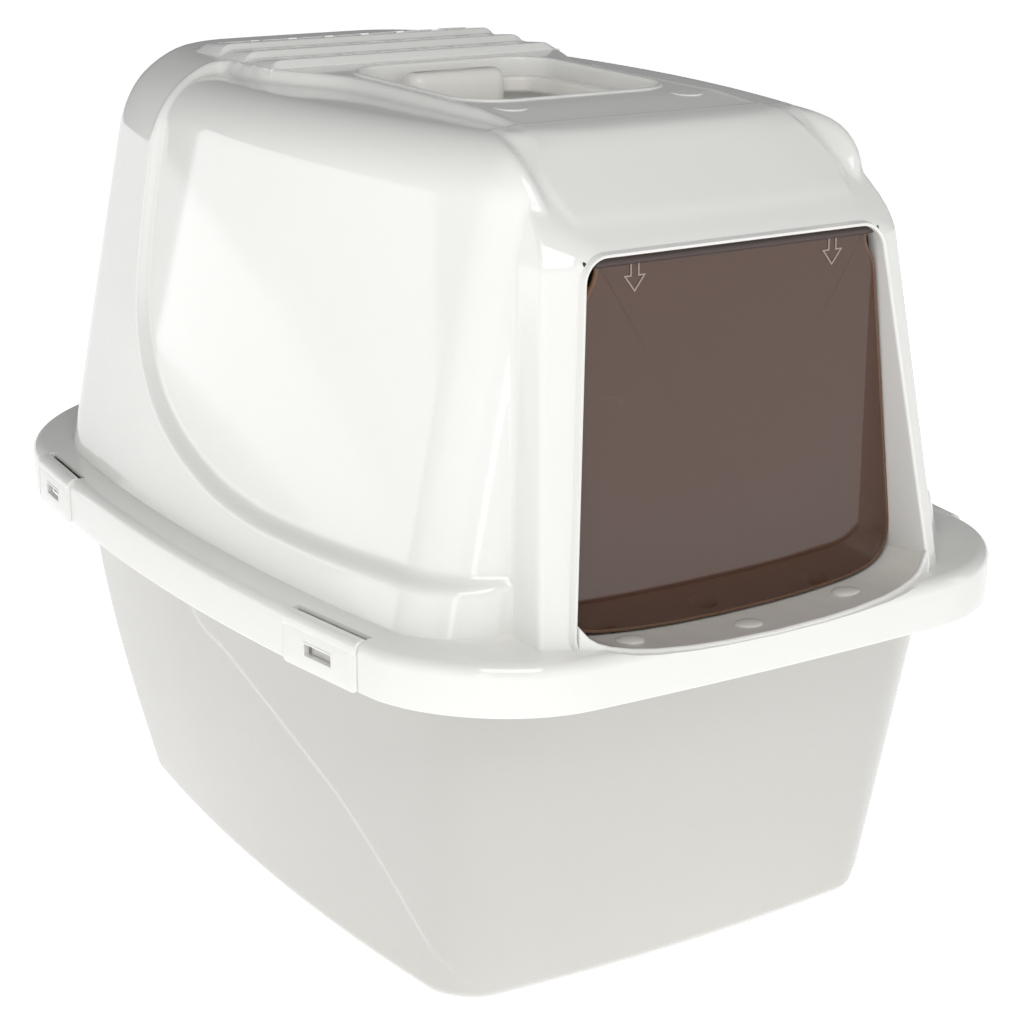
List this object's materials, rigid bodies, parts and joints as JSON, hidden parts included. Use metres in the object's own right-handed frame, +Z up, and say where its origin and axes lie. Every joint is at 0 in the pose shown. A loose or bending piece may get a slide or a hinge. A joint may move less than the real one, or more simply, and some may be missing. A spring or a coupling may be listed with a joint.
{
  "type": "hooded cat litter box",
  "caption": "Hooded cat litter box: tapered grey tray, glossy white lift-off hood with a front doorway, smoky swing flap, rim clips, roof vent and fold-up handle.",
  "frame": {"origin": "on the floor under the middle of the box's overall length and width", "axes": "+Z up, -Y towards the doorway, +X to the right seen from the front"},
  "size_m": [0.4128, 0.5962, 0.4532],
  "materials": {
    "tray_plastic": "satin light grey polypropylene",
    "hood_plastic": "glossy white polypropylene",
    "clip_plastic": "satin white polypropylene",
    "handle_plastic": "satin white polypropylene",
    "flap_plastic": "smoky brown see-through polystyrene, polished",
    "holder_plastic": "satin white",
    "filter_carbon": "black carbon fleece"
  },
  "bodies": {
    "tray": {"tray": "tray_plastic"},
    "hood": {"hood": "hood_plastic", "filter_holder": "holder_plastic", "filter_pad": "filter_carbon"},
    "flap": {"flap": "flap_plastic"},
    "handle": {"handle": "handle_plastic"},
    "clip_front_left": {"clip_front_left": "clip_plastic"},
    "clip_front_right": {"clip_front_right": "clip_plastic"},
    "clip_rear_left": {"clip_rear_left": "clip_plastic"},
    "clip_rear_right": {"clip_rear_right": "clip_plastic"}
  },
  "joints": [
    {"name": "hood_lift", "type": "slide", "parent": "tray", "child": "hood", "axis": [0, 0, 1], "range_m": [0, 0.28]},
    {"name": "flap_swing", "type": "hinge", "parent": "hood", "child": "flap", "pos_m": [0, -0.254, 0.387], "axis": [1, 0, 0], "range_deg": [-60, 60]},
    {"name": "handle_fold", "type": "hinge", "parent": "hood", "child": "handle", "pos_m": [0, -0.085, 0.433], "axis": [1, 0, 0], "range_deg": [0, 100]},
    {"name": "clip_front_left_swing", "type": "hinge", "parent": "hood", "child": "clip_front_left", "pos_m": [-0.18934, -0.18744, 0.2068], "axis": [-0.1392, 0.9903, 0], "range_deg": [0, 100]},
    {"name": "clip_front_right_swing", "type": "hinge", "parent": "hood", "child": "clip_front_right", "pos_m": [0.18934, -0.18744, 0.2068], "axis": [-0.1392, -0.9903, 0], "range_deg": [0, 100]},
    {"name": "clip_rear_left_swing", "type": "hinge", "parent": "hood", "child": "clip_rear_left", "pos_m": [-0.19642, 0.13465, 0.2068], "axis": [0.0872, 0.9962, 0], "range_deg": [0, 100]},
    {"name": "clip_rear_right_swing", "type": "hinge", "parent": "hood", "child": "clip_rear_right", "pos_m": [0.19642, 0.13465, 0.2068], "axis": [0.0872, -0.9962, 0], "range_deg": [0, 100]}
  ]
}
